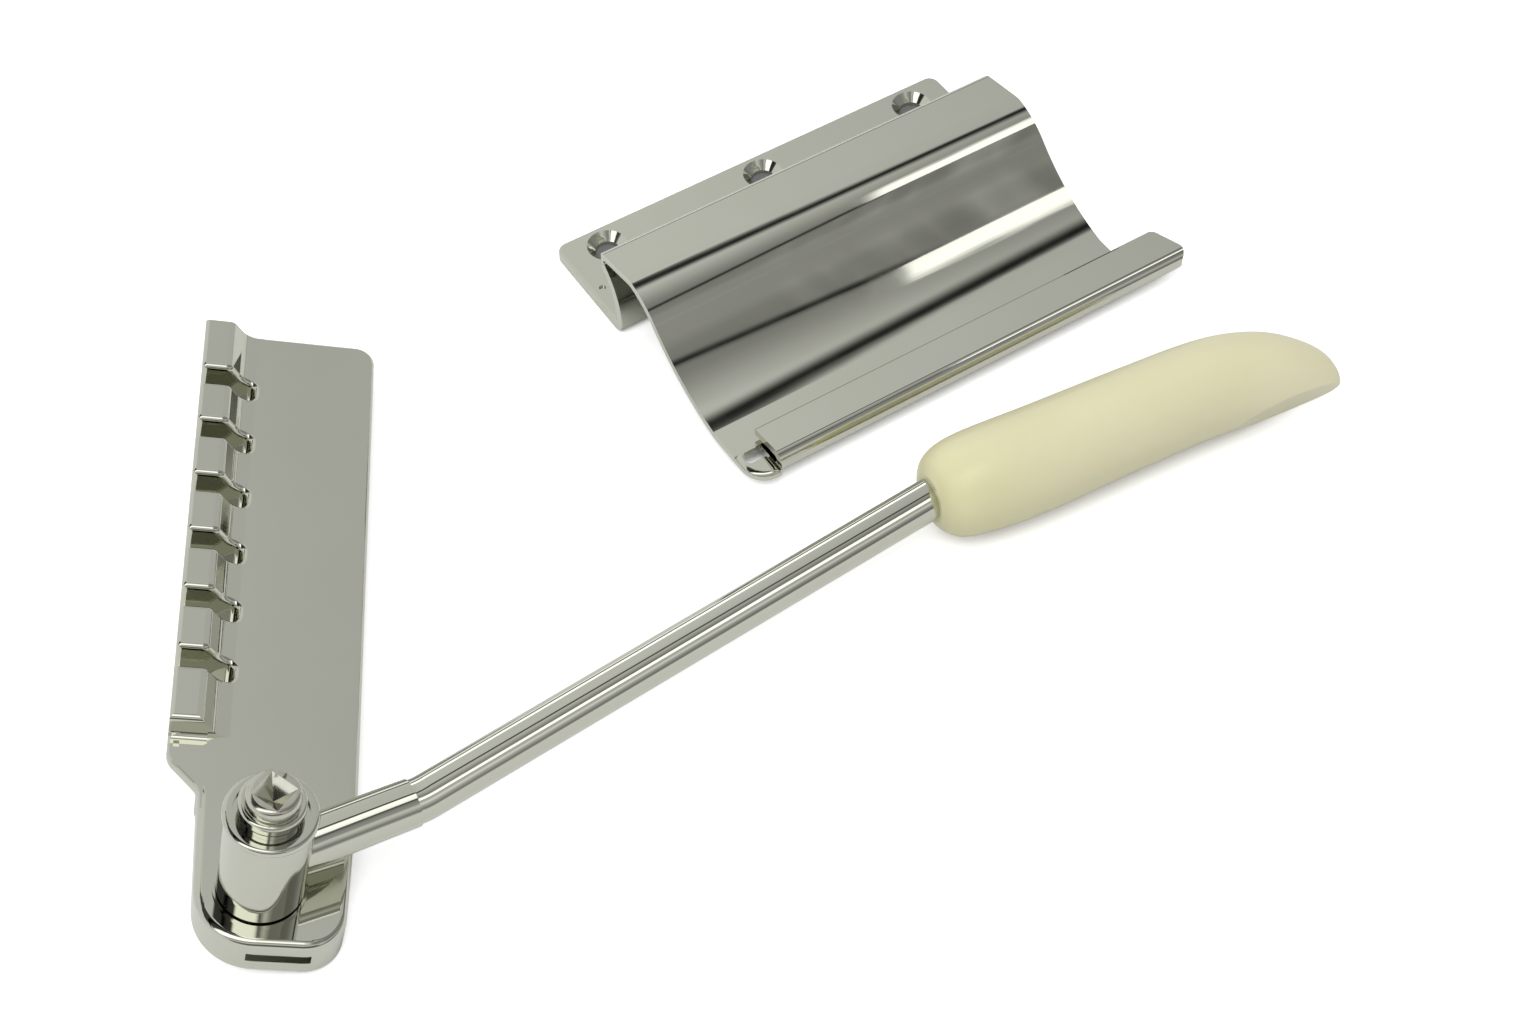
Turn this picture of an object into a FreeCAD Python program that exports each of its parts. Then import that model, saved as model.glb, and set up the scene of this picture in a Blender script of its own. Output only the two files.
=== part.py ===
"""Leaf-spring guitar tremolo, shown taken apart: the spring unit and the string holder with its arm.

Millimetres, +Z up. The origin is the middle screw hole of the base plate, on its underside. +X runs along the
row of screw holes, and +Y points from the front lip of the spring back past the screws.
"""
import FreeCAD, Part
import math
import os

from FreeCAD import Placement, Rotation, Vector

os.makedirs("parts", exist_ok=True)

# Shared clearances
overrun = 1.0
press_gap = 0.01
same_place = 0.01
running_gap = 0.04
loose_gap = 0.10

# Base plate: flange with the screw holes, foot bend and leg that curves back to the fold
base_width = 76.2
base_depth = 21.5
base_thickness = 2.0
base_corner_radius = 1.8
base_edge_radius = 0.5
foot_bend_radius = 1.6
leg_rise = 0.6
leg_curve_radius = 11.0
leg_turn_deg = 52.0
screw_inset = 7.5
screw_row_setback = 4.4
screw_hole_radius = 2.1
countersink_radius = 3.4
dimple_radius = 0.6
dimple_depth = 0.4
dimple_inset = 1.9
dimple_setback = 12.2

# Leaf spring: fold, band, hump, brow, slope, trough and front band
leaf_width = 75.2
leaf_thickness = 1.3
fold_inner_radius = 0.5
fold_gap_deg = 16.0
band_rise_deg = 9.5
band_length = 7.3
hump_radius = 3.0
brow_deg = 13.0
brow_radius = 13.2
slope_deg = 44.0
slope_length = 0.45
trough_radius = 34.5
crease_deg = 12.0
crease_radius = 1.6
front_band_length = 9.8
leaf_corner_radius = 0.8

# Hem along the front of the leaf: folded back over the front band, with a tab past the right edge
hem_gap = 1.6
hem_lean_deg = 7.0
hem_return = 5.5
hem_start = 4.7
hem_edge_run = 0.5
hem_edge_drop = 0.11
tab_length = 8.8
tab_slant = 1.9
tab_back_radius = 1.2
tab_front_radius = 1.6
front_corner_radius = 4.0
front_edge_radius = 0.9
relief_start = 1.0
relief_setback = 6.0
relief_width = 2.3
relief_corner_radius = 0.9

# String holder: plate, skirts, string ridge, ear and tray
holder_width = 26.2
taper_length = 24.5
taper_inset = 1.0
taper_radius = 60.0
plate_thickness = 2.0
plate_edge_radius = 1.1
skirt_depth = 6.5
skirt_thickness = 1.6
far_left_radius = 1.3
far_right_radius = 3.0
near_right_radius = 5.5
near_left_radius = 8.6
tray_left = 5.3
tray_flare = 0.7
tray_length = 23.5
ear_length = 9.0
ear_turn_run = 4.1
ear_drop = 0.3
ear_thickness = 1.6
ear_corner_radius = 3.0
ear_inner_radius = 3.0
ear_mark_start = 1.4
ear_mark_length = 4.4
ear_mark_width = 0.8
ear_mark_depth = 0.4
ear_mark_inset = 0.8
ridge_start = 0.6
ridge_height = 3.2
ridge_rib_width = 9.8
ridge_rib_depth = 4.2
ridge_top_width = 4.3
ridge_foot = 6.7
ridge_foot_run = 2.4
ridge_edge_radius = 0.6
ridge_shoulder_radius = 1.3
ridge_foot_radius = 3.2
ridge_end_run = 0.5
ridge_end_radius = 0.9
string_count = 6
string_pitch = 10.4
first_string = 11.6
last_tooth = 10.4
string_slot_width = 3.0
string_slot_reach = 8.1
string_slot_radius = 1.0
tooth_edge_radius = 0.8
end_slot_width = 8.6
end_slot_height = 1.8
end_slot_shift = 3.1
end_slot_drop = 3.4

# Where the holder lies beside the spring: turned about Z, then resting on its right skirt
holder_x = -96.85
holder_y = 9.64
holder_turn_deg = -29.4
holder_tilt_deg = 13.1

# Pivot of the arm: stud, nut, washers, bush, collar and screw, stacked on the tray
pivot_shift = 0.6
pivot_inset = 8.8
stud_radius = 3.0
stud_shank_radius = 2.5
stud_height = 20.25
stud_shank_length = 6.0
stud_bore_radius = 1.6
stud_bore_depth = 10.0
stud_edge = 0.3
lock_washer_radius = 4.4
lock_washer_thickness = 0.7
lock_washer_slit = 0.8
nut_across_flats = 8.0
nut_thickness = 2.7
nut_sides = 6
base_washer_radius = 6.3
base_washer_thickness = 0.4
friction_washer_radius = 5.2
friction_washer_thickness = 0.4
barrel_radius = 5.9
barrel_top = 19.0
barrel_bead_radius = 6.25
barrel_bead_height = 1.4
barrel_edge_radius = 0.6
barrel_recess_radius = 5.0
barrel_recess_depth = 0.5
bush_radius = 4.0
bush_top = 19.7
wave_washer_radius = 4.2
wave_washer_thickness = 0.5
collar_radius = 4.4
collar_height = 1.5
collar_edge_radius = 0.45
screw_head_radius = 3.6
screw_head_height = 2.2
screw_head_edge_radius = 0.9
screw_head_foot_radius = 0.3
screw_length = 9.0
recess_reach = 3.0
recess_waist = 2.1
recess_depth = 2.6
recess_wings = 4
recess_turn_deg = 10.0
nick_length = 1.4
nick_width = 0.45
nick_depth = 1.0
nick_turns_deg = (62.0, 88.0)

# Arm: tapered sleeve, bent rod and handle
arm_height = 7.0
arm_heading_deg = 26.0
arm_rise_deg = 4.0
arm_bend_reach = 22.6
rod_radius = 3.15
rod_heading_deg = 34.3
rod_rise_deg = 8.5
rod_bend_radius = 12.0
rod_length = 90.3
rod_insert = 14.0
sleeve_start_radius = 3.55
sleeve_end_radius = 3.4
sleeve_setback = 1.4
tip_length = 69.2
tip_half_height = 8.0
tip_half_width = 9.2
tip_overlap = 1.2
tip_side = -0.5
tip_heading_deg = 23.0
tip_rise_deg = 11.9
tip_roll_deg = 74.0
tip_hole_end_gap = 0.5
scoop_radius = 125.0
scoop_along = 60.8
scoop_drop = 6.5
scoop_width = 34.0
# Handle sections: share of the length, then half height, half width and lift as shares of the half sizes
tip_section_shares = (
    (0.000, 0.48, 0.46, 0.05),
    (0.010, 0.64, 0.62, 0.05),
    (0.026, 0.79, 0.77, 0.04),
    (0.052, 0.90, 0.89, 0.03),
    (0.092, 0.96, 0.96, 0.03),
    (0.140, 0.99, 0.99, 0.02),
    (0.243, 1.00, 1.00, 0.01),
    (0.416, 0.975, 1.00, 0.05),
    (0.590, 0.95, 0.98, 0.085),
    (0.720, 0.935, 0.93, 0.07),
    (0.806, 0.91, 0.85, -0.03),
    (0.879, 0.82, 0.74, -0.17),
    (0.936, 0.66, 0.58, -0.33),
    (0.976, 0.46, 0.41, -0.48),
    (0.994, 0.23, 0.21, -0.60),
    (1.000, 0.09, 0.09, -0.64),
)

# Places along the base plate and the holder that follow from the sizes above
screw_pitch = base_width / 2 - screw_inset
ear_start = first_string + (string_count - 1) * string_pitch + last_tooth
ear_turn = ear_start + ear_turn_run
tray_start = ear_start + ear_length
holder_length = tray_start + tray_length
taper_start = holder_length - taper_length
near_width = holder_width - taper_inset
pivot_x = holder_width / 2 + pivot_shift
end_slot_centre = pivot_x + end_slot_shift

# Heights of the pivot stack above the plate
washers_top = base_washer_thickness + friction_washer_thickness
barrel_bottom = washers_top + running_gap
collar_top = stud_height + collar_height
pivot_y = pivot_inset - holder_length
nut_top = -plate_thickness - lock_washer_thickness


def profile_point(forward, height):
    """A point of the spring's side profile, forward from the back edge of the base plate."""
    return Vector(0, screw_row_setback - forward, height)


def plan_point(x, y):
    return Vector(x, y, 0)


def section_point(x, z):
    return Vector(x, 0, z)


def side_point(y, z):
    return Vector(0, y, z)


def line_edge(start, end):
    return Part.LineSegment(start, end).toShape()


def arc_edge(start, middle, end):
    return Part.Arc(start, middle, end).toShape()


def rounded_face(corners, to_space):
    """A face inside (a, b, radius) corners, each rounded by its own radius."""
    points = [Vector(a, b, 0) for a, b, radius in corners]
    stops = []
    for index, (a, b, radius) in enumerate(corners):
        corner = points[index]
        back = (points[index - 1] - corner).normalize()
        ahead = (points[(index + 1) % len(points)] - corner).normalize()
        half_angle = back.getAngle(ahead) / 2
        reach = radius / math.tan(half_angle)
        centre = corner + (back + ahead).normalize() * (radius / math.sin(half_angle))
        middle = centre + (corner - centre).normalize() * radius if radius else corner
        stops.append((corner + back * reach, middle, corner + ahead * reach, radius))
    edges = []
    for index, (start, middle, end, radius) in enumerate(stops):
        if radius:
            edges.append(arc_edge(*(to_space(p.x, p.y) for p in (start, middle, end))))
        following = stops[(index + 1) % len(stops)][0]
        if end.distanceToPoint(following) > same_place:
            edges.append(line_edge(to_space(end.x, end.y), to_space(following.x, following.y)))
    return Part.Face(Part.Wire(edges))


def prism(corners, bottom, top):
    """A rounded outline in plan, raised from bottom to top."""
    face = rounded_face(corners, plan_point)
    face.translate(Vector(0, 0, bottom))
    return face.extrude(Vector(0, 0, top - bottom))


def ring(outer, inner, bottom, top):
    """A plain ring, or a disc where inner is 0, round the Z axis."""
    height = top - bottom
    shape = Part.makeCylinder(outer, height, Vector(0, 0, bottom))
    if inner:
        shape = shape.cut(Part.makeCylinder(inner, height, Vector(0, 0, bottom)))
    return shape


def round_edges(shape, radius, wanted):
    """Rounds the edges that wanted picks."""
    return shape.makeFillet(radius, [edge for edge in shape.Edges if wanted(edge)])


def at_height(height):
    """Picks the round edges that lie flat at a height."""
    def wanted(edge):
        box = edge.BoundBox
        return abs(box.ZMin - height) < same_place and abs(box.ZMax - height) < same_place
    return wanted


def strip_walk(start, heading, runs):
    """The start point and heading of each run of a bent strip's middle line, and those of its end.

    A run is (length, None) where it is straight, or (radius, turn), with a turn to the left positive.
    """
    (forward, height) = start
    stops = [(forward, height, heading)]
    for size, turn in runs:
        if turn is None:
            forward += size * math.cos(heading)
            height += size * math.sin(heading)
        else:
            side = math.copysign(size, turn)
            centre = (forward - side * math.sin(heading), height + side * math.cos(heading))
            heading += turn
            forward = centre[0] + side * math.sin(heading)
            height = centre[1] - side * math.cos(heading)
        stops.append((forward, height, heading))
    return stops


def beside(stop, side):
    """The point to the left of a stop by side, in the profile's plane."""
    forward, height, heading = stop
    return profile_point(forward - side * math.sin(heading), height + side * math.cos(heading))


def strip(start, heading, runs, thickness, left, width):
    """A solid strip of sheet with the given middle line, from x = left over its width."""
    stops = strip_walk(start, heading, runs)
    sides = {}
    for side in (thickness / 2, -thickness / 2):
        sides[side] = []
        for (size, turn), before, after in zip(runs, stops, stops[1:]):
            if turn is None:
                edge = line_edge(beside(before, side), beside(after, side))
            else:
                halfway = strip_walk(before[:2], before[2], [(size, turn / 2)])[-1]
                edge = arc_edge(beside(before, side), beside(halfway, side), beside(after, side))
            sides[side].append(edge)
    caps = [line_edge(beside(stop, thickness / 2), beside(stop, -thickness / 2))
            for stop in (stops[0], stops[-1])]
    edges = Part.sortEdges(sides[thickness / 2] + sides[-thickness / 2] + caps)[0]
    face = Part.Face(Part.Wire(edges))
    face.translate(Vector(left, 0, 0))
    return face.extrude(Vector(width, 0, 0))


# Middle line of the base plate, and the fold that the leaf turns about
base_start = (0, base_thickness / 2)
base_runs = (
    (base_depth - base_thickness / 2 - foot_bend_radius, None),
    (foot_bend_radius, math.radians(90)),
    (leg_rise, None),
    (leg_curve_radius, math.radians(leg_turn_deg)),
)
leg_end = strip_walk(base_start, 0, base_runs)[-1]
fold_offset = base_thickness / 2 + fold_inner_radius
fold_forward = leg_end[0] + fold_offset * math.sin(leg_end[2])
fold_height = leg_end[1] - fold_offset * math.cos(leg_end[2])

# Middle line of the leaf, from the fold to the front of its band
fold_radius = fold_inner_radius + leaf_thickness / 2
fold_angle = leg_end[2] + math.radians(90 - fold_gap_deg)
leaf_start = (
    fold_forward + fold_radius * math.cos(fold_angle),
    fold_height + fold_radius * math.sin(fold_angle),
)
leaf_heading = fold_angle - math.radians(90)
leaf_runs = (
    (fold_radius, math.radians(band_rise_deg) - leaf_heading),
    (band_length, None),
    (hump_radius, -math.radians(band_rise_deg + brow_deg)),
    (brow_radius, -math.radians(slope_deg - brow_deg)),
    (slope_length, None),
    (trough_radius, math.radians(slope_deg - crease_deg)),
    (crease_radius, math.radians(crease_deg)),
    (front_band_length, None),
)
leaf_left = -base_width / 2
front_end = strip_walk(leaf_start, leaf_heading, leaf_runs)[-1]
hem_radius = (leaf_thickness + hem_gap) / 2
hem_runs = (
    (hem_return, None),
    (hem_radius, math.radians(180 + hem_lean_deg)),
    (hem_return, None),
)
hem_front = front_end[0] + hem_radius + leaf_thickness / 2


def make_base_plate():
    plate = strip(base_start, 0, base_runs, base_thickness, -base_width / 2, base_width)
    outline = (
        (-base_width / 2, screw_row_setback, base_corner_radius),
        (base_width / 2, screw_row_setback, base_corner_radius),
        (base_width / 2, screw_row_setback - base_depth, 0),
        (-base_width / 2, screw_row_setback - base_depth, 0),
    )
    plate = plate.common(prism(outline, 0, fold_height))
    plate = round_edges(plate, base_edge_radius, flange_top_edge)
    sink_depth = countersink_radius - screw_hole_radius
    for step in (-1, 0, 1):
        centre = Vector(step * screw_pitch, 0, 0)
        hole = Part.makeCylinder(screw_hole_radius, base_thickness + overrun, centre)
        sink = Part.makeCone(screw_hole_radius, countersink_radius, sink_depth,
                             centre + Vector(0, 0, base_thickness - sink_depth))
        plate = plate.cut(hole.fuse(sink))
    dimple = Part.makeCylinder(dimple_radius, dimple_depth, Vector(
        dimple_inset - base_width / 2, screw_row_setback - dimple_setback, base_thickness - dimple_depth))
    return plate.cut(dimple)


def flange_top_edge(edge):
    """Picks the flange's top edges along its back, its corners and its sides."""
    box = edge.BoundBox
    level = abs(box.ZMin - base_thickness) < same_place and abs(box.ZMax - base_thickness) < same_place
    inner_bend = screw_row_setback - base_depth + base_thickness + foot_bend_radius
    along_bend = box.YMax < inner_bend
    return level and not along_bend


def make_leaf_spring():
    sheet = strip(leaf_start, leaf_heading, leaf_runs, leaf_thickness, leaf_left, leaf_width)
    back = screw_row_setback - fold_forward + fold_inner_radius + leaf_thickness
    front = screw_row_setback - front_end[0]
    outline = (
        (leaf_left, back, leaf_corner_radius),
        (leaf_left + leaf_width, back, leaf_corner_radius),
        (leaf_left + leaf_width, front, 0),
        (leaf_left, front, 0),
    )
    sheet = sheet.common(prism(outline, 0, fold_height + band_length + leaf_thickness))
    sheet = sheet.cut(prism(front_corner_place(), 0, front_end[1] + leaf_thickness))
    sheet = sheet.fuse(make_hem()).fuse(make_front_corner()).removeSplitter()
    relief = (
        (leaf_left + relief_start, screw_row_setback - hem_front + relief_setback, relief_corner_radius),
        (leaf_left + hem_start, screw_row_setback - hem_front + relief_setback, 0),
        (leaf_left + hem_start, screw_row_setback - hem_front + relief_setback - relief_width, 0),
        (leaf_left + relief_start, screw_row_setback - hem_front + relief_setback - relief_width,
         relief_corner_radius),
    )
    return sheet.cut(prism(relief, 0, front_end[1] + leaf_thickness))


def make_hem():
    """The fold-over along the front, from its cut left end to the end of the tab."""
    width = leaf_width + tab_length - hem_start
    start = (front_end[0] - hem_return, front_end[1])
    fold = strip(start, 0, hem_runs, leaf_thickness, leaf_left + hem_start, width)
    right = leaf_left + leaf_width + tab_length
    outline = (
        (leaf_left + hem_start, screw_row_setback - start[0], 0),
        (right - tab_slant, screw_row_setback - start[0], tab_back_radius),
        (right, screw_row_setback - hem_front, tab_front_radius),
        (leaf_left + hem_start, screw_row_setback - hem_front, 0),
    )
    return fold.common(prism(outline, 0, fold_height)).cut(hem_back_edge(start))


def hem_back_edge(start):
    """The sliver that dresses the back edge of the hem down, along the width of the sheet."""
    end = strip_walk(start, 0, hem_runs)[-1]
    lean = math.radians(hem_lean_deg)
    along = Vector(0, -math.cos(lean), math.sin(lean))
    upward = Vector(0, math.sin(lean), math.cos(lean))
    corner = Vector(leaf_left, screw_row_setback - end[0], end[1]) + upward * leaf_thickness / 2
    front = corner + along * hem_edge_run
    below = front - 2 * (along * hem_edge_run + upward * hem_edge_drop)
    above = corner - along * hem_edge_run + upward * hem_edge_drop
    face = Part.Face(Part.makePolygon([front, below, above, front]))
    return face.extrude(Vector(leaf_width, 0, 0))


def front_corner_place():
    """The part of the front band that the rounded corner beside the hem's cut end replaces."""
    inner = screw_row_setback - front_end[0]
    return (
        (leaf_left, inner + front_corner_radius, 0),
        (leaf_left + hem_start, inner + front_corner_radius, 0),
        (leaf_left + hem_start, inner, 0),
        (leaf_left, inner, 0),
    )


def make_front_corner():
    """The flat front left corner of the sheet, beside the cut end of the hem."""
    bottom = front_end[1] - leaf_thickness / 2
    inner = screw_row_setback - front_end[0]
    outer = screw_row_setback - hem_front
    outline = (
        (leaf_left, inner + front_corner_radius, 0),
        (leaf_left + hem_start, inner + front_corner_radius, 0),
        (leaf_left + hem_start, outer, 0),
        (leaf_left, outer, front_corner_radius),
    )
    corner = prism(outline, bottom, bottom + leaf_thickness)

    def rounded(edge):
        on_top = at_height(bottom + leaf_thickness)(edge)
        return on_top and edge.BoundBox.YMin < outer + same_place

    return round_edges(corner, front_edge_radius, rounded)


def make_string_holder():
    body = prism(holder_outline(), -skirt_depth, 0)
    body = round_edges(body, plate_edge_radius, at_height(0))
    body = body.cut(prism(holder_hollow(), -skirt_depth - overrun, -plate_thickness))
    body = body.cut(prism(ridge_hollow(), -skirt_depth - overrun, -ridge_rib_depth))
    body = body.cut(prism(ear_hollow(), -skirt_depth - overrun, -ear_drop - ear_thickness))
    body = body.fuse(make_ridge()).removeSplitter()
    body = body.cut(ridge_end(-overrun, tray_left, -ear_drop))
    body = body.cut(ridge_end(tray_left, holder_width / 2, 0))
    for index in range(string_count):
        body = body.cut(string_slot(first_string + index * string_pitch))
    body = round_edges(body, tooth_edge_radius, tooth_edge)
    body = body.cut(end_slot()).cut(ear_mark())
    stud_hole = Part.makeCylinder(stud_shank_radius + press_gap, plate_thickness + 2 * overrun,
                                  Vector(pivot_x, pivot_y, -plate_thickness - overrun))
    return body.cut(stud_hole)


def holder_outline():
    return (
        (0, 0, far_left_radius),
        (holder_width, 0, far_right_radius),
        (holder_width, -taper_start, taper_radius),
        (near_width, -holder_length, near_right_radius),
        (tray_left, -holder_length, near_left_radius),
        (tray_left - tray_flare, -tray_start, ear_inner_radius),
        (0, -ear_turn, ear_corner_radius),
    )


def holder_hollow():
    """The space under the plate, beside the rib under the ridge and inside the skirts."""
    inner_right = holder_width - skirt_thickness
    inner_near = near_width - skirt_thickness
    inner_left = tray_left + skirt_thickness
    inner_end = skirt_thickness - holder_length
    return (
        (ridge_rib_width, -skirt_thickness, 0),
        (inner_right, -skirt_thickness, 0),
        (inner_right, -taper_start, taper_radius),
        (inner_near, inner_end, near_right_radius - skirt_thickness),
        (inner_left, inner_end, near_left_radius - skirt_thickness),
        (inner_left, -tray_start, 0),
        (ridge_rib_width, -tray_start, 0),
    )


def ridge_hollow():
    """The space under the ridge's rib, open to the left."""
    return (
        (-overrun, -skirt_thickness, 0),
        (ridge_rib_width + overrun, -skirt_thickness, 0),
        (ridge_rib_width + overrun, -ear_start, 0),
        (-overrun, -ear_start, 0),
    )


def ear_hollow():
    """The space under the ear, outside the tray's left wall."""
    return (
        (-overrun, -ear_start, 0),
        (tray_left, -ear_start, 0),
        (tray_left, -tray_start, 0),
        (-overrun, -tray_start, 0),
    )


def make_ridge():
    """The raised string ridge along the left edge, with an S-shaped slope down to the plate."""
    corners = (
        (0, -plate_thickness, 0),
        (0, ridge_height, ridge_edge_radius),
        (ridge_top_width, ridge_height, ridge_shoulder_radius),
        (ridge_foot, 0, ridge_foot_radius),
        (ridge_foot + ridge_foot_run, 0, 0),
        (ridge_foot + ridge_foot_run, -plate_thickness, 0),
    )
    face = rounded_face(corners, section_point)
    end = ear_start + ridge_end_run
    face.translate(Vector(0, -end, 0))
    return face.extrude(Vector(0, end - ridge_start, 0))


def ridge_end(left, right, floor):
    """Cuts the sloping end of the ridge over a width, down to a floor beside the last tooth."""
    top = ridge_height + overrun
    past = -tray_start - ear_corner_radius
    corners = (
        (-ear_start + ridge_end_radius, top, 0),
        (-ear_start + ridge_end_radius, ridge_height, 0),
        (-ear_start, ridge_height, ridge_end_radius),
        (-ear_start - ridge_end_run, floor, ridge_end_radius),
        (past, floor, 0),
        (past, top, 0),
    )
    face = rounded_face(corners, side_point)
    face.translate(Vector(left, 0, 0))
    return face.extrude(Vector(right - left, 0, 0))


def string_slot(along):
    half = string_slot_width / 2
    corners = (
        (-overrun, half - along, 0),
        (string_slot_reach, half - along, string_slot_radius),
        (string_slot_reach, -half - along, string_slot_radius),
        (-overrun, -half - along, 0),
    )
    return prism(corners, -plate_thickness - overrun, ridge_height + overrun)


def tooth_edge(edge):
    """Picks the upper edges of the teeth along the sides of the string slots."""
    box = edge.BoundBox
    flat_across = box.YLength < same_place
    above_plate = box.ZMin > -same_place
    if not (flat_across and above_plate):
        return False
    half = string_slot_width / 2
    slot_sides = [-first_string - index * string_pitch + side
                  for index in range(string_count) for side in (half, -half)]
    return any(abs(box.YMin - side) < same_place for side in slot_sides) and box.ZMax > same_place


def end_slot():
    return Part.makeBox(end_slot_width, skirt_thickness + 2 * overrun, end_slot_height, Vector(
        end_slot_centre - end_slot_width / 2, -holder_length - overrun,
        -end_slot_drop - end_slot_height / 2))


def ear_mark():
    return Part.makeBox(ear_mark_width, ear_mark_length, ear_mark_depth, Vector(
        ear_mark_inset, -ear_start - ear_mark_start - ear_mark_length, -ear_drop - ear_mark_depth))


def make_pivot_stud():
    post = ring(stud_radius, 0, 0, stud_height)
    post = post.makeChamfer(stud_edge, [edge for edge in post.Edges if at_height(stud_height)(edge)])
    shank = ring(stud_shank_radius, 0, -stud_shank_length, 0)
    bore = ring(stud_bore_radius, 0, stud_height - stud_bore_depth, stud_height)
    return post.fuse(shank).removeSplitter().cut(bore)


def make_lock_washer():
    washer = ring(lock_washer_radius, stud_shank_radius + press_gap, nut_top, -plate_thickness)
    slit = Part.makeBox(lock_washer_radius, lock_washer_slit, lock_washer_thickness,
                        Vector(0, -lock_washer_slit / 2, nut_top))
    return washer.cut(slit)


def make_stud_nut():
    corner_radius = nut_across_flats / 2 / math.cos(math.pi / nut_sides)
    turns = [2 * math.pi * side / nut_sides for side in range(nut_sides)]
    corners = [(corner_radius * math.cos(turn), corner_radius * math.sin(turn), 0) for turn in turns]
    nut = prism(corners, nut_top - nut_thickness, nut_top)
    return nut.cut(ring(stud_shank_radius + press_gap, 0, nut_top - nut_thickness, nut_top))


def make_base_washer():
    return ring(base_washer_radius, stud_radius + running_gap, 0, base_washer_thickness)


def make_friction_washer():
    return ring(friction_washer_radius, stud_radius + running_gap, base_washer_thickness, washers_top)


def make_arm_barrel():
    bead = ring(barrel_bead_radius, 0, barrel_top - barrel_bead_height, barrel_top)
    bead = round_edges(bead, barrel_edge_radius, bead_edge)
    barrel = ring(barrel_radius, 0, barrel_bottom, barrel_top - barrel_bead_height / 2).fuse(bead)
    barrel = barrel.cut(ring(bush_radius + press_gap, 0, barrel_bottom, barrel_top))
    barrel = barrel.cut(ring(barrel_recess_radius, 0, barrel_top - barrel_recess_depth, barrel_top))
    return barrel.cut(arm_start_bar(rod_radius + press_gap))


def bead_edge(edge):
    """Picks the upper and lower edge of the bead round the barrel's top."""
    return at_height(barrel_top)(edge) or at_height(barrel_top - barrel_bead_height)(edge)


def make_barrel_bush():
    return ring(bush_radius, stud_radius + running_gap, barrel_bottom, bush_top)


def make_wave_washer():
    return ring(wave_washer_radius, stud_radius + loose_gap, bush_top, bush_top + wave_washer_thickness)


def make_screw_collar():
    collar = ring(collar_radius, 0, stud_height, collar_top)
    collar = round_edges(collar, collar_edge_radius, at_height(collar_top))
    return collar.cut(ring(stud_bore_radius, 0, stud_height, collar_top))


def make_pivot_screw():
    head_top = collar_top + screw_head_height
    head = ring(screw_head_radius, 0, collar_top, head_top)
    head = round_edges(head, screw_head_edge_radius, at_height(head_top))
    head = round_edges(head, screw_head_foot_radius, at_height(collar_top))
    shank = ring(stud_bore_radius - press_gap, 0, collar_top - screw_length, collar_top)
    screw = head.fuse(shank).removeSplitter()
    screw = screw.cut(screw_recess(head_top))
    for turn_deg in nick_turns_deg:
        nick = Part.makeBox(nick_length, nick_width, nick_depth,
                            Vector(screw_head_radius - nick_length, -nick_width / 2, head_top - nick_depth))
        screw = screw.cut(nick.rotate(Vector(), Vector(0, 0, 1), turn_deg))
    return screw


def screw_recess(head_top):
    """The driver recess: a pointed star that narrows to a point below the head's top."""
    points = []
    for index in range(2 * recess_wings):
        turn = math.radians(recess_turn_deg) + math.pi * index / recess_wings
        reach = recess_waist if index % 2 else recess_reach
        points.append(Vector(reach * math.cos(turn), reach * math.sin(turn), head_top))
    tip = Vector(0, 0, head_top - recess_depth)
    faces = [Part.Face(Part.makePolygon(points + points[:1]))]
    for start, end in zip(points, points[1:] + points[:1]):
        faces.append(Part.Face(Part.makePolygon([start, end, tip, start])))
    return Part.Solid(Part.Shell(faces))


def heading_vector(heading_deg, rise_deg):
    """A unit vector at a heading in the plate's plane, rising from it."""
    heading = math.radians(heading_deg)
    rise = math.radians(rise_deg)
    return Vector(math.cos(heading) * math.cos(rise), math.sin(heading) * math.cos(rise), math.sin(rise))


arm_root = Vector(0, 0, arm_height)
arm_out = heading_vector(arm_heading_deg, arm_rise_deg)
arm_bend = arm_root + arm_out * arm_bend_reach
rod_out = heading_vector(rod_heading_deg, rod_rise_deg)
rod_end = arm_bend + rod_out * rod_length
tip_out = heading_vector(tip_heading_deg, tip_rise_deg)


def arm_start_bar(radius):
    """A straight bar from the bush out along the start of the arm."""
    start = bush_radius + loose_gap
    return Part.makeCylinder(radius, arm_bend_reach - start, arm_root + arm_out * start, arm_out)


def make_arm_sleeve():
    end = arm_bend_reach - sleeve_setback
    cone = Part.makeCone(sleeve_start_radius, sleeve_end_radius, end, arm_root, arm_out)
    cone = cone.cut(ring(barrel_radius, 0, 0, barrel_top))
    return cone.cut(arm_start_bar(rod_radius + press_gap))


def make_arm_rod():
    """The rod from the barrel's wall, through its bend, into the handle."""
    turn = arm_out.getAngle(rod_out)
    reach = rod_bend_radius * math.tan(turn / 2)
    inward = (rod_out - arm_out).normalize()
    depth = rod_bend_radius / math.cos(turn / 2) - rod_bend_radius
    start = arm_root + arm_out * (bush_radius + loose_gap)
    before = arm_bend - arm_out * reach
    after = arm_bend + rod_out * reach
    end = rod_end + rod_out * (rod_insert - tip_hole_end_gap)
    path = Part.Wire([
        line_edge(start, before),
        arc_edge(before, arm_bend + inward * depth, after),
        line_edge(after, end),
    ])
    section = Part.Wire(Part.Circle(start, arm_out, rod_radius).toShape())
    return path.makePipeShell([section], True, False)


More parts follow.
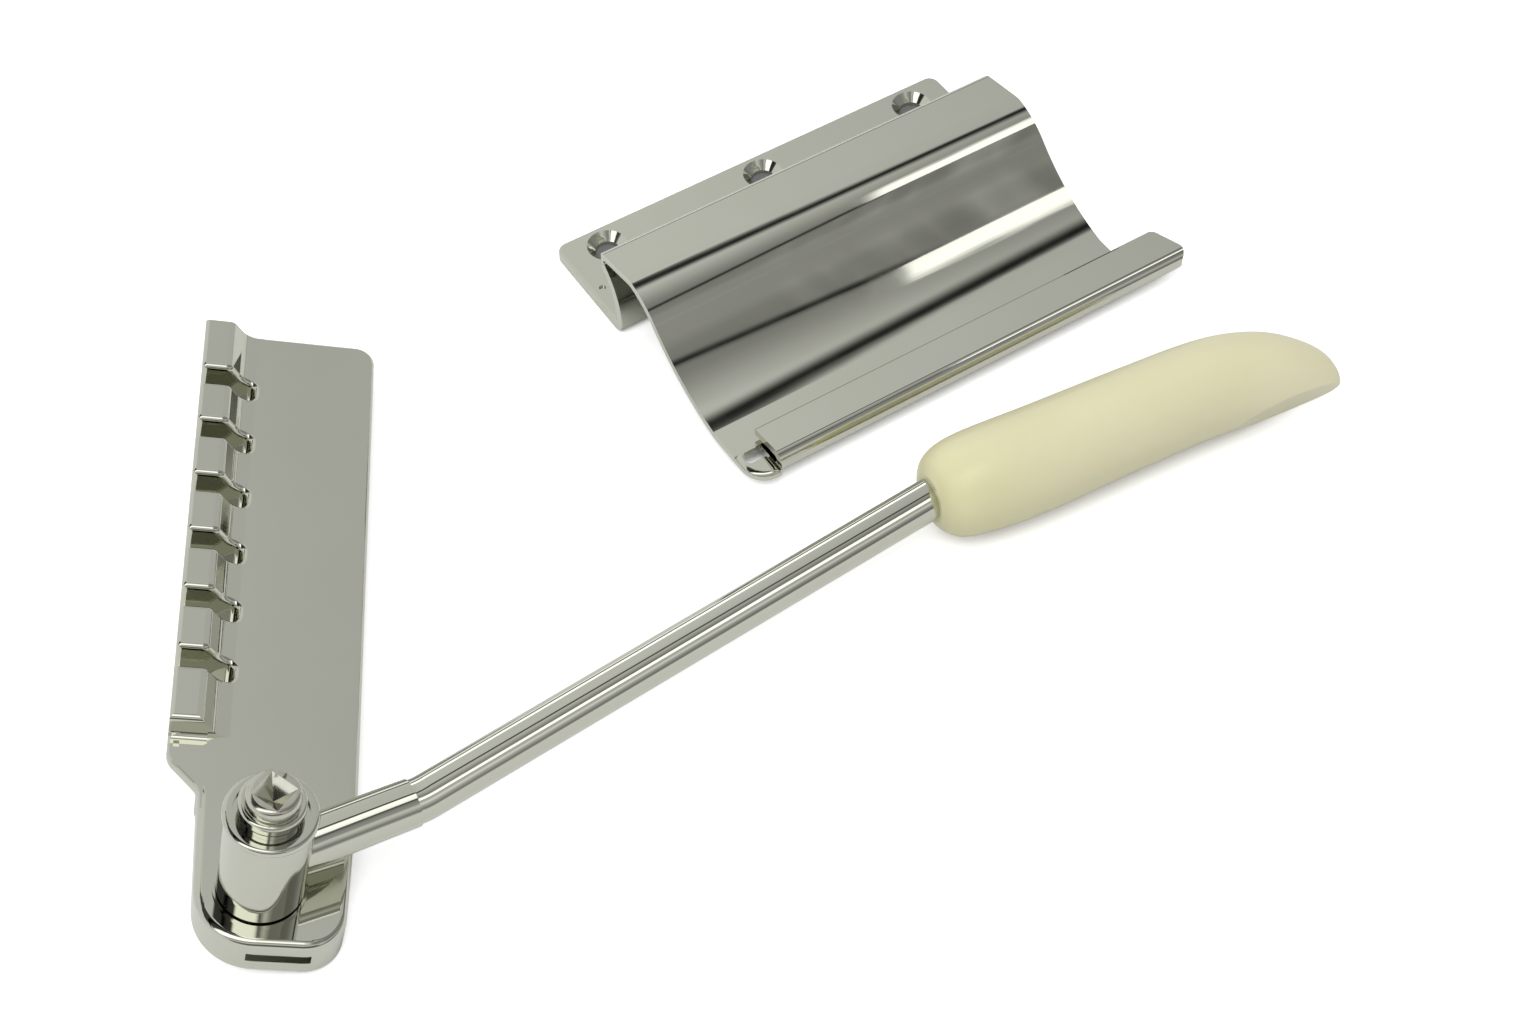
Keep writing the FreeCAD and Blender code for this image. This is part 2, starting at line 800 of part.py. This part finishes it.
def make_arm_tip():
    """The handle, rolled on to its side, with the rod's hole near and a scoop under its far end."""
    sideways = Vector(0, 0, 1).cross(tip_out).normalize()
    upward = tip_out.cross(sideways)
    roll = math.radians(tip_roll_deg)
    own_up = upward * math.cos(roll) + sideways * math.sin(roll)
    own_side = sideways * math.cos(roll) - upward * math.sin(roll)
    near = rod_end - tip_out * tip_overlap + sideways * tip_side
    sections = []
    for along_share, height_share, width_share, lift_share in tip_section_shares:
        centre = near + tip_out * (along_share * tip_length) + own_up * (lift_share * tip_half_height)
        tall = tip_half_height * height_share
        wide = tip_half_width * width_share
        major, minor = (own_side, own_up) if wide >= tall else (own_up, own_side)
        ellipse = Part.Ellipse(centre + major * max(wide, tall), centre + minor * min(wide, tall), centre)
        sections.append(Part.Wire(ellipse.toShape()))
    handle = Part.makeLoft(sections, True, False)
    hole = Part.makeCylinder(rod_radius + press_gap, rod_insert + tip_half_width,
                             rod_end - rod_out * tip_half_width, rod_out)
    scoop_middle = near + tip_out * scoop_along - own_up * (scoop_drop + scoop_radius)
    scoop_start = scoop_middle - own_side * (scoop_width / 2)
    scoop = Part.makeCylinder(scoop_radius, scoop_width, scoop_start, own_side)
    return handle.cut(hole).cut(scoop)


def holder_placement():
    """Turns the holder's own frame about Z and tips it on to the lower edge of its right skirt."""
    tilt = math.radians(holder_tilt_deg)
    height = holder_width * math.sin(tilt) + skirt_depth * math.cos(tilt)
    turn = Rotation(Vector(0, 0, 1), holder_turn_deg)
    tip = Rotation(Vector(0, 1, 0), holder_tilt_deg)
    return Placement(Vector(holder_x, holder_y, height), turn.multiply(tip))


def placed(shape, pivot_offset):
    """Moves a piece of the holder unit from its own origin to its place."""
    shape = shape.copy()
    shape.Placement = holder_placement().multiply(Placement(pivot_offset, Rotation()))
    return shape


spring_pieces = {
    "base_plate": make_base_plate,
    "leaf_spring": make_leaf_spring,
}
pivot_pieces = {
    "pivot_stud": make_pivot_stud,
    "lock_washer": make_lock_washer,
    "stud_nut": make_stud_nut,
    "base_washer": make_base_washer,
    "friction_washer": make_friction_washer,
    "arm_barrel": make_arm_barrel,
    "barrel_bush": make_barrel_bush,
    "wave_washer": make_wave_washer,
    "screw_collar": make_screw_collar,
    "pivot_screw": make_pivot_screw,
    "arm_sleeve": make_arm_sleeve,
    "arm_rod": make_arm_rod,
    "arm_tip": make_arm_tip,
}

shapes = {name: make() for name, make in spring_pieces.items()}
shapes["string_holder"] = placed(make_string_holder(), Vector())
for name, make in pivot_pieces.items():
    shapes[name] = placed(make(), Vector(pivot_x, pivot_y, 0))

for name, shape in shapes.items():
    shape.exportStep(os.path.join("parts", name + ".step"))
    box = shape.BoundBox
    print(f"{name}: {len(shape.Solids)} solid, valid {shape.isValid()}, volume {shape.Volume:.1f}, "
          f"z from {box.ZMin:.2f}")
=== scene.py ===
"""Looks of the leaf-spring tremolo: finishes, floor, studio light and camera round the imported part."""
import math

import bpy
from mathutils import Matrix, Vector

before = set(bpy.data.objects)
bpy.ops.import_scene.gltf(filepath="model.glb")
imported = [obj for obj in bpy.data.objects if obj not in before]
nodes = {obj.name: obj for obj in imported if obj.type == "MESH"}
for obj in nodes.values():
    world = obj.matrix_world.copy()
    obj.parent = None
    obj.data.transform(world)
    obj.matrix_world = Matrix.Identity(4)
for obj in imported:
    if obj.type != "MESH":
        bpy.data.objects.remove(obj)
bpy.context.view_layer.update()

# Camera as fitted to the photograph, in metres in the part's frame
CAMERA_AT = (-0.17129, -0.26367, 0.31003)
CAMERA_AIM = (-0.03818, -0.05996, 0.0)
CAMERA_LENS = 60.61

NICKEL_NODES = (
    "base_plate", "leaf_spring", "string_holder", "arm_barrel", "screw_collar", "arm_sleeve", "arm_rod",
    "base_washer", "pivot_stud", "stud_nut", "barrel_bush", "lock_washer",
)


def new_material(name):
    """An empty node material with its shader and output."""
    material = bpy.data.materials.new(name)
    material.use_nodes = True
    tree = material.node_tree
    tree.nodes.clear()
    out = tree.nodes.new("ShaderNodeOutputMaterial")
    shader = tree.nodes.new("ShaderNodeBsdfPrincipled")
    tree.links.new(shader.outputs["BSDF"], out.inputs["Surface"])
    return material, tree, shader


def noise(tree, scale, detail=2.0, stretch=(1, 1, 1)):
    """Noise on Object coordinates, with its own stretch."""
    place = tree.nodes.new("ShaderNodeTexCoord")
    mapping = tree.nodes.new("ShaderNodeMapping")
    mapping.inputs["Scale"].default_value = stretch
    texture = tree.nodes.new("ShaderNodeTexNoise")
    texture.inputs["Scale"].default_value = scale
    texture.inputs["Detail"].default_value = detail
    tree.links.new(place.outputs["Object"], mapping.inputs["Vector"])
    tree.links.new(mapping.outputs["Vector"], texture.inputs["Vector"])
    return texture


def ramp(tree, source, stops):
    """A colour ramp over (place, colour) stops, fed by source."""
    node = tree.nodes.new("ShaderNodeValToRGB")
    elements = node.color_ramp.elements
    while len(elements) > 1:
        elements.remove(elements[-1])
    for index, (place, colour) in enumerate(stops):
        element = elements[0] if index == 0 else elements.new(place)
        element.position = place
        element.color = (*colour, 1) if len(colour) == 3 else colour
    tree.links.new(source, node.inputs["Fac"])
    return node


def grey(value):
    """A grey colour of one value."""
    return (value, value, value)


def bump(tree, shader, height, strength, distance):
    """Fine relief on the shader, from a height."""
    node = tree.nodes.new("ShaderNodeBump")
    node.inputs["Strength"].default_value = strength
    node.inputs["Distance"].default_value = distance
    tree.links.new(height, node.inputs["Height"])
    tree.links.new(node.outputs["Normal"], shader.inputs["Normal"])


def make_nickel():
    """Polished nickel plate: faint tarnish and the slight waves of buffed sheet."""
    material, tree, shader = new_material("polished_nickel")
    shader.inputs["Metallic"].default_value = 1.0
    tarnish = noise(tree, 40, 3)
    colour = ramp(tree, tarnish.outputs["Fac"], (
        (0.3, (0.632, 0.638, 0.548)), (0.7, (0.650, 0.656, 0.570))))
    tree.links.new(colour.outputs["Color"], shader.inputs["Base Color"])
    haze = noise(tree, 190, 3)
    rough = ramp(tree, haze.outputs["Fac"], ((0.3, grey(0.035)), (0.7, grey(0.06))))
    tree.links.new(rough.outputs["Color"], shader.inputs["Roughness"])
    waves = noise(tree, 120, 1)
    bump(tree, shader, waves.outputs["Fac"], 0.02, 0.0003)
    return material


def make_screw_steel():
    """Plated screw, a little duller than the sheet."""
    material, tree, shader = new_material("screw_plate")
    shader.inputs["Metallic"].default_value = 1.0
    haze = noise(tree, 400, 3)
    colour = ramp(tree, haze.outputs["Fac"], ((0.3, (0.58, 0.575, 0.49)), (0.7, (0.66, 0.66, 0.58))))
    tree.links.new(colour.outputs["Color"], shader.inputs["Base Color"])
    shader.inputs["Roughness"].default_value = 0.16
    return material


def make_spring_steel():
    """Bare grey steel of the wave washer."""
    material, tree, shader = new_material("spring_steel")
    shader.inputs["Metallic"].default_value = 1.0
    haze = noise(tree, 300, 3)
    colour = ramp(tree, haze.outputs["Fac"], ((0.3, grey(0.30)), (0.7, grey(0.42))))
    tree.links.new(colour.outputs["Color"], shader.inputs["Base Color"])
    shader.inputs["Roughness"].default_value = 0.3
    return material


def make_fibre():
    """Dark pressed fibre of the friction washer."""
    material, tree, shader = new_material("dark_fibre")
    grain = noise(tree, 900, 4)
    colour = ramp(tree, grain.outputs["Fac"], ((0.3, (0.03, 0.025, 0.02)), (0.7, (0.08, 0.07, 0.06))))
    tree.links.new(colour.outputs["Color"], shader.inputs["Base Color"])
    shader.inputs["Roughness"].default_value = 0.8
    bump(tree, shader, grain.outputs["Fac"], 0.3, 0.0002)
    return material


def make_cream():
    """Cream plastic of the handle, slightly milky, with a soft gloss."""
    material, tree, shader = new_material("cream_plastic")
    cloud = noise(tree, 28, 3)
    colour = ramp(tree, cloud.outputs["Fac"], (
        (0.3, (0.745, 0.715, 0.435)), (0.7, (0.79, 0.755, 0.52))))
    tree.links.new(colour.outputs["Color"], shader.inputs["Base Color"])
    shader.inputs["Roughness"].default_value = 0.28
    shader.inputs["Subsurface Weight"].default_value = 0.25
    shader.inputs["Subsurface Radius"].default_value = (0.004, 0.0035, 0.002)
    shader.inputs["Subsurface Scale"].default_value = 1.0
    fine = noise(tree, 700, 2)
    bump(tree, shader, fine.outputs["Fac"], 0.03, 0.0002)
    return material


def finish_nodes():
    """Gives each piece its finish."""
    nickel = make_nickel()
    finishes = {name: nickel for name in NICKEL_NODES}
    finishes["pivot_screw"] = make_screw_steel()
    finishes["wave_washer"] = make_spring_steel()
    finishes["friction_washer"] = make_fibre()
    finishes["arm_tip"] = make_cream()
    for name, material in finishes.items():
        mesh = nodes[name].data
        mesh.materials.clear()
        mesh.materials.append(material)


# White of the open floor, to the camera and in the metal; close under the pieces the floor lies in the dark,
# and under the screw holes that dark is painted shade
FLOOR_GLOW = 0.62
FLOOR_GLOW_IN_METAL = 0.03
FLOOR_SIZE = 6.0
# Just under the part, so that no face of the floor lies in a face of the part
FLOOR_HEIGHT = -0.00004
# Painted shade: the floor darkened and without glow under the row of screw holes; middle and reach along X
# and Y, share of the colour lost
PAINTED_SHADE_PATCH = (("X", 0.0, 0.034), ("Y", 0.0, 0.004))
PAINTED_SHADE_SHARE = 0.75
# The glow dies out where the floor is hemmed in: how far that reaches, and how open the floor is at its ends
CONTACT_REACH = 0.012
CONTACT_OPEN = (0.12, 0.45)


def math_node(tree, operation, first, second):
    """A Math node on two sockets or numbers."""
    node = tree.nodes.new("ShaderNodeMath")
    node.operation = operation
    for slot, value in zip(node.inputs, (first, second)):
        if isinstance(value, (int, float)):
            slot.default_value = value
        else:
            tree.links.new(value, slot)
    return node.outputs[0]


def map_range(tree, value, low, high):
    """The share of the way from low to high, kept between 0 and 1."""
    node = tree.nodes.new("ShaderNodeMapRange")
    node.inputs["From Min"].default_value = low
    node.inputs["From Max"].default_value = high
    tree.links.new(value, node.inputs["Value"])
    return node.outputs["Result"]


def make_floor():
    """A pale floor: white to the camera outside the shadow, light grey in the metal, with painted shade
    under the screw holes.
    """
    bpy.ops.object.select_all(action="DESELECT")
    bpy.ops.mesh.primitive_plane_add(size=FLOOR_SIZE, location=(0, 0, FLOOR_HEIGHT))
    floor = bpy.context.object
    floor.name = "floor"
    material, tree, shader = new_material("pale_floor")
    paper = noise(tree, 30, 2)
    colour = ramp(tree, paper.outputs["Fac"], ((0.3, grey(0.76)), (0.7, grey(0.78))))
    shader.inputs["Roughness"].default_value = 1.0
    shader.inputs["Specular IOR Level"].default_value = 0.0
    rays = tree.nodes.new("ShaderNodeLightPath")
    shader.inputs["Emission Color"].default_value = (1, 1, 1, 1)
    place = tree.nodes.new("ShaderNodeTexCoord")
    split = tree.nodes.new("ShaderNodeSeparateXYZ")
    tree.links.new(place.outputs["Object"], split.inputs["Vector"])
    # Painted shade: a fixed patch under the screw holes loses part of its colour and all of its glow
    dark = 1.0
    for side, middle, reach in PAINTED_SHADE_PATCH:
        away = math_node(tree, "ABSOLUTE", math_node(tree, "SUBTRACT", split.outputs[side], middle), 0)
        dark = math_node(tree, "MULTIPLY", dark, math_node(tree, "LESS_THAN", away, reach))
    shade = math_node(tree, "SUBTRACT", 1.0, math_node(tree, "MULTIPLY", dark, PAINTED_SHADE_SHARE))
    tree.links.new(math_node(tree, "MULTIPLY", colour.outputs["Color"], shade), shader.inputs["Base Color"])
    open_floor = tree.nodes.new("ShaderNodeAmbientOcclusion")
    open_floor.inputs["Distance"].default_value = CONTACT_REACH
    lit = map_range(tree, open_floor.outputs["AO"], *CONTACT_OPEN)
    lit = math_node(tree, "MULTIPLY", lit, math_node(tree, "SUBTRACT", 1.0, dark))
    glow = math_node(tree, "MULTIPLY", rays.outputs["Is Camera Ray"], FLOOR_GLOW)
    mirrored = math_node(tree, "ADD", rays.outputs["Is Glossy Ray"], rays.outputs["Is Transmission Ray"])
    glow = math_node(tree, "ADD", glow, math_node(tree, "MULTIPLY", mirrored, FLOOR_GLOW_IN_METAL))
    tree.links.new(math_node(tree, "MULTIPLY", glow, lit), shader.inputs["Emission Strength"])
    floor.data.materials.append(material)


# Studio tent, by the angle of a direction forward of straight up, in the plane across the spring:
# angle, strength
TENT = (
    (-180, 0.60), (-95, 0.66), (-87, 0.66), (-85, 1.5), (-82, 1.5), (-79, 0.10), (-74, 0.10), (-70, 0.63),
    (-40, 0.62), (-10, 0.62), (2, 0.58), (5, 0.52), (8, 0.47), (11, 0.43), (14, 0.375), (17, 0.33),
    (20, 0.29), (23, 0.25), (30, 0.235), (36, 0.25), (41, 0.31), (50, 0.32), (55, 0.60), (62, 0.62),
    (67, 0.52), (73, 0.39), (79, 0.26), (86, 0.24), (92, 0.50), (180, 0.60),
)
# Strength that the grey ramps count as 1
TENT_TOP = 2.0
# The tent's light falls off to the right: direction across, share of the light
FALL_OFF = ((0.34, 1.16), (0.50, 0.90))
# Dark seam of the tent, which runs aslant: angle from its middle, share of the light that it leaves
SEAM = ((-4, 1.0), (-2.4, 0.08), (0, 0.02), (1.8, 0.15), (6, 1.0))
SEAM_MIDDLE = -4.0
SEAM_SLANT = 41.0
# Dark edge of the lamp's hood, aslant too, seen from the left
HOOD = ((-1.6, 0.0), (-0.9, 1.0), (0.8, 1.0), (3.0, 0.0))
HOOD_MIDDLE = 24.5
HOOD_SLANT = -62.0
HOOD_SHADE = 0.98
# The hood shows to the left of these directions across
HOOD_LEFT = (0.45, 0.41)
# Directions across over which the seam and the hood run aslant
SLANT_CENTRE = 0.40
SLANT_REACH = 0.14
# Pale folds in the dark part of the tent, which the leaf's slope reflects as smudges
FOLD_BAND = ((20, 0.0), (27, 1.0), (40, 1.0), (47, 0.0))
FOLD_STRENGTH = 0.30
# Folds by direction across and by degree of angle: how close they lie, how they lean, how short they are
FOLD_CLOSENESS = 120.0
FOLD_LEAN = 0.04
FOLD_SHORTNESS = 0.02
# Noise that counts as a fold, and the directions across where the folds begin and end
FOLD_DEPTH = (0.45, 0.75)
FOLD_BEGIN = (0.365, 0.41)
FOLD_END = (0.50, 0.47)
# Plain end of the tent, at the far left, and the directions across where its lines set in
SIDE_STRENGTH = 0.66
LINES_BEGIN = (-0.95, -0.80)
# Directions across where the tent over the part takes over from the side
TENT_BEGIN = (0.10, 0.25)
# Side of the tent to the left, with the front lamp and its dark frame, which rounded edges reflect as lines
SIDE = (
    (-180, 0.66), (-30, 0.66), (-26, 0.05), (4, 0.05), (8, 1.5), (34, 1.5), (38, 0.25),
    (43, 0.30), (47, 0.62), (56, 0.62), (62, 0.12), (80, 0.12), (88, 0.60), (180, 0.66),
)


def angle_ramp(tree, degrees, stops, top=1.0):
    """A grey ramp over (angle, strength) stops."""
    low, high = -180.0, 180.0
    share = map_range(tree, degrees, low, high)
    return ramp(tree, share, [((angle - low) / (high - low), grey(value / top)) for angle, value in stops]
                ).outputs["Color"]


def from_aslant(tree, degrees, across, middle, slant):
    """The angle from a line of the tent that runs aslant."""
    share = map_range(tree, across, SLANT_CENTRE - SLANT_REACH, SLANT_CENTRE + SLANT_REACH)
    shift = math_node(tree, "MULTIPLY", math_node(tree, "SUBTRACT", share, 0.5), 2 * SLANT_REACH * slant)
    return math_node(tree, "SUBTRACT", math_node(tree, "SUBTRACT", degrees, middle), shift)


def pale_folds(tree, degrees, across):
    """The light of the folds: narrow across, long and aslant along the angle."""
    place = tree.nodes.new("ShaderNodeCombineXYZ")
    slanted = math_node(tree, "ADD", math_node(tree, "MULTIPLY", across, FOLD_CLOSENESS),
                        math_node(tree, "MULTIPLY", degrees, FOLD_LEAN))
    tree.links.new(slanted, place.inputs["X"])
    tree.links.new(math_node(tree, "MULTIPLY", degrees, FOLD_SHORTNESS), place.inputs["Y"])
    cloth = tree.nodes.new("ShaderNodeTexNoise")
    cloth.inputs["Scale"].default_value = 1.0
    cloth.inputs["Detail"].default_value = 2.0
    tree.links.new(place.outputs["Vector"], cloth.inputs["Vector"])
    folds = map_range(tree, cloth.outputs["Fac"], *FOLD_DEPTH)
    folds = math_node(tree, "MULTIPLY", folds, angle_ramp(tree, degrees, FOLD_BAND))
    folds = math_node(tree, "MULTIPLY", folds, map_range(tree, across, *FOLD_BEGIN))
    return math_node(tree, "MULTIPLY", folds, map_range(tree, across, *FOLD_END))


def make_world():
    """The tent round the part, as light by direction."""
    world = bpy.data.worlds.new("studio_tent")
    bpy.context.scene.world = world
    world.use_nodes = True
    tree = world.node_tree
    tree.nodes.clear()
    out = tree.nodes.new("ShaderNodeOutputWorld")
    background = tree.nodes.new("ShaderNodeBackground")
    place = tree.nodes.new("ShaderNodeTexCoord")
    split = tree.nodes.new("ShaderNodeSeparateXYZ")
    tree.links.new(place.outputs["Generated"], split.inputs["Vector"])
    across = split.outputs["X"]
    forward = math_node(tree, "MULTIPLY", split.outputs["Y"], -1.0)
    turn = math_node(tree, "ARCTAN2", forward, split.outputs["Z"])
    degrees = math_node(tree, "MULTIPLY", turn, 180 / math.pi)
    banded = map_range(tree, across, *TENT_BEGIN)
    lined = map_range(tree, across, *LINES_BEGIN)
    side = math_node(tree, "SUBTRACT", angle_ramp(tree, degrees, SIDE, TENT_TOP), SIDE_STRENGTH / TENT_TOP)
    side = math_node(tree, "ADD", math_node(tree, "MULTIPLY", side, lined), SIDE_STRENGTH / TENT_TOP)
    tent = math_node(tree, "MULTIPLY", math_node(
        tree, "SUBTRACT", angle_ramp(tree, degrees, TENT, TENT_TOP), side), banded)
    tent = math_node(tree, "ADD", tent, side)
    folds = math_node(tree, "MULTIPLY", pale_folds(tree, degrees, across), FOLD_STRENGTH / TENT_TOP)
    tent = math_node(tree, "ADD", tent, folds)
    seam = angle_ramp(tree, from_aslant(tree, degrees, across, SEAM_MIDDLE, SEAM_SLANT), SEAM)
    left = map_range(tree, across, *HOOD_LEFT)
    hood = angle_ramp(tree, from_aslant(tree, degrees, across, HOOD_MIDDLE, HOOD_SLANT), HOOD)
    hood = math_node(tree, "MULTIPLY", hood, left)
    (near, more), (far, less) = FALL_OFF
    fall = math_node(tree, "MULTIPLY", map_range(tree, across, near, far), less - more)
    tent = math_node(tree, "MULTIPLY", tent, math_node(tree, "ADD", fall, more))
    light = math_node(tree, "MULTIPLY", math_node(tree, "MULTIPLY", tent, seam), TENT_TOP)
    shade = math_node(tree, "SUBTRACT", 1.0, math_node(tree, "MULTIPLY", hood, HOOD_SHADE))
    light = math_node(tree, "MULTIPLY", light, shade)
    tree.links.new(light, background.inputs["Strength"])
    tree.links.new(background.outputs["Background"], out.inputs["Surface"])
    background.inputs["Color"].default_value = (1, 1, 1, 1)


# Soft lamp over the part: place, aim, side and watts
SOFT_TOP = ((-0.25, -0.20, 0.9), (-0.04, -0.04, 0), 0.6, 4.0)
# Strip lamps: aim, angle forward of straight up, direction across, distance, length, width, strength and the
# nodes that they light
ROD_AIM = (-0.060, -0.072, 0.010)
SLEEVE_AIM = (-0.118, -0.112, 0.015)
SPRING_AIM = (0.0, -0.030, 0.010)
STRIPS = {
    "arm_strip": (ROD_AIM, 34.0, 0.43, 0.6, 0.6, 0.130, 1.4, ("arm_rod",)),
    "arm_soft_strip": (ROD_AIM, 52.0, 0.43, 0.6, 0.6, 0.200, 0.22, ("arm_rod",)),
    "arm_back_strip": (ROD_AIM, -63.5, 0.31, 0.6, 0.6, 0.110, 1.6, ("arm_rod",)),
    "sleeve_strip": (SLEEVE_AIM, 9.0, 0.37, 0.6, 0.5, 0.220, 1.1, ("arm_sleeve",)),
    "spring_lamp": (SPRING_AIM, 18.0, 0.516, 3.0, 0.64, 0.52, 1.4, ("leaf_spring", "base_plate")),
}
# The spring lamp's left end: size and depth of its ripples, and the share of its length over which it fades
RIPPLE_SCALE = 9.0
RIPPLE_DETAIL = 3.0
RIPPLE_DEPTH = 0.5
FADE_LENGTH = 0.40


def add_lamp(name, place, aim, size, power):
    """A square lamp that shows in no reflection."""
    bpy.ops.object.light_add(type="AREA", location=place)
    lamp = bpy.context.object
    lamp.name = name
    lamp.data.shape = "SQUARE"
    lamp.data.size = size
    lamp.data.energy = power
    lamp.rotation_euler = (Vector(aim) - Vector(place)).to_track_quat("-Z", "Y").to_euler()
    lamp.visible_glossy = False
    return lamp


def add_strip(name, aim, turn, across, away, length, width, strength, lit_nodes):
    """A lamp that only the named nodes reflect, placed by its angle and its direction across."""
    flat = math.sqrt(1 - across * across)
    angle = math.radians(turn)
    outward = Vector((across, -math.sin(angle) * flat, math.cos(angle) * flat))
    lamp = add_lamp(name, Vector(aim) + outward * away, aim, length, strength * math.pi * length * width)
    lamp.data.shape = "RECTANGLE"
    lamp.data.size_y = width
    along = (Vector((1, 0, 0)) - outward * outward.x).normalized()
    lamp.rotation_euler = Matrix((along, outward.cross(along), outward)).transposed().to_euler()
    lamp.visible_glossy = True
    lamp.visible_diffuse = False
    lit = bpy.data.collections.new("lit_by_" + name)
    for node_name in lit_nodes:
        lit.objects.link(nodes[node_name])
    lamp.light_linking.receiver_collection = lit
    return lamp


def ripple_end(lamp):
    """Fades a strip out at its left end, along a rippled edge."""
    lamp.data.use_nodes = True
    tree = lamp.data.node_tree
    emission = next(node for node in tree.nodes if node.type == "EMISSION")
    place = tree.nodes.new("ShaderNodeNewGeometry")
    split = tree.nodes.new("ShaderNodeSeparateXYZ")
    tree.links.new(place.outputs["Parametric"], split.inputs["Vector"])
    ripple = tree.nodes.new("ShaderNodeTexNoise")
    ripple.inputs["Scale"].default_value = RIPPLE_SCALE
    ripple.inputs["Detail"].default_value = RIPPLE_DETAIL
    tree.links.new(place.outputs["Parametric"], ripple.inputs["Vector"])
    wave = math_node(tree, "MULTIPLY", math_node(tree, "SUBTRACT", ripple.outputs["Fac"], 0.5), RIPPLE_DEPTH)
    along = math_node(tree, "SUBTRACT", 1.0, split.outputs["Y"])
    fade = map_range(tree, math_node(tree, "ADD", along, wave), 0.0, FADE_LENGTH)
    tree.links.new(fade, emission.inputs["Strength"])


def add_strips():
    """The bright lines that the arm and the spring reflect."""
    lamps = {name: add_strip(name, *values) for name, values in STRIPS.items()}
    ripple_end(lamps["spring_lamp"])


def add_camera():
    """The camera at the photograph's angle."""
    bpy.ops.object.camera_add(location=CAMERA_AT)
    camera = bpy.context.object
    camera.name = "photo_camera"
    camera.data.sensor_fit = "HORIZONTAL"
    camera.data.sensor_width = 36.0
    camera.data.lens = CAMERA_LENS
    camera.data.clip_start = 0.01
    camera.data.clip_end = 50.0
    camera.rotation_euler = (Vector(CAMERA_AIM) - Vector(CAMERA_AT)).to_track_quat("-Z", "Y").to_euler()
    bpy.context.scene.camera = camera


finish_nodes()
make_floor()
make_world()
add_lamp("soft_top", *SOFT_TOP)
add_strips()
add_camera()
bpy.context.scene.view_settings.view_transform = "Standard"
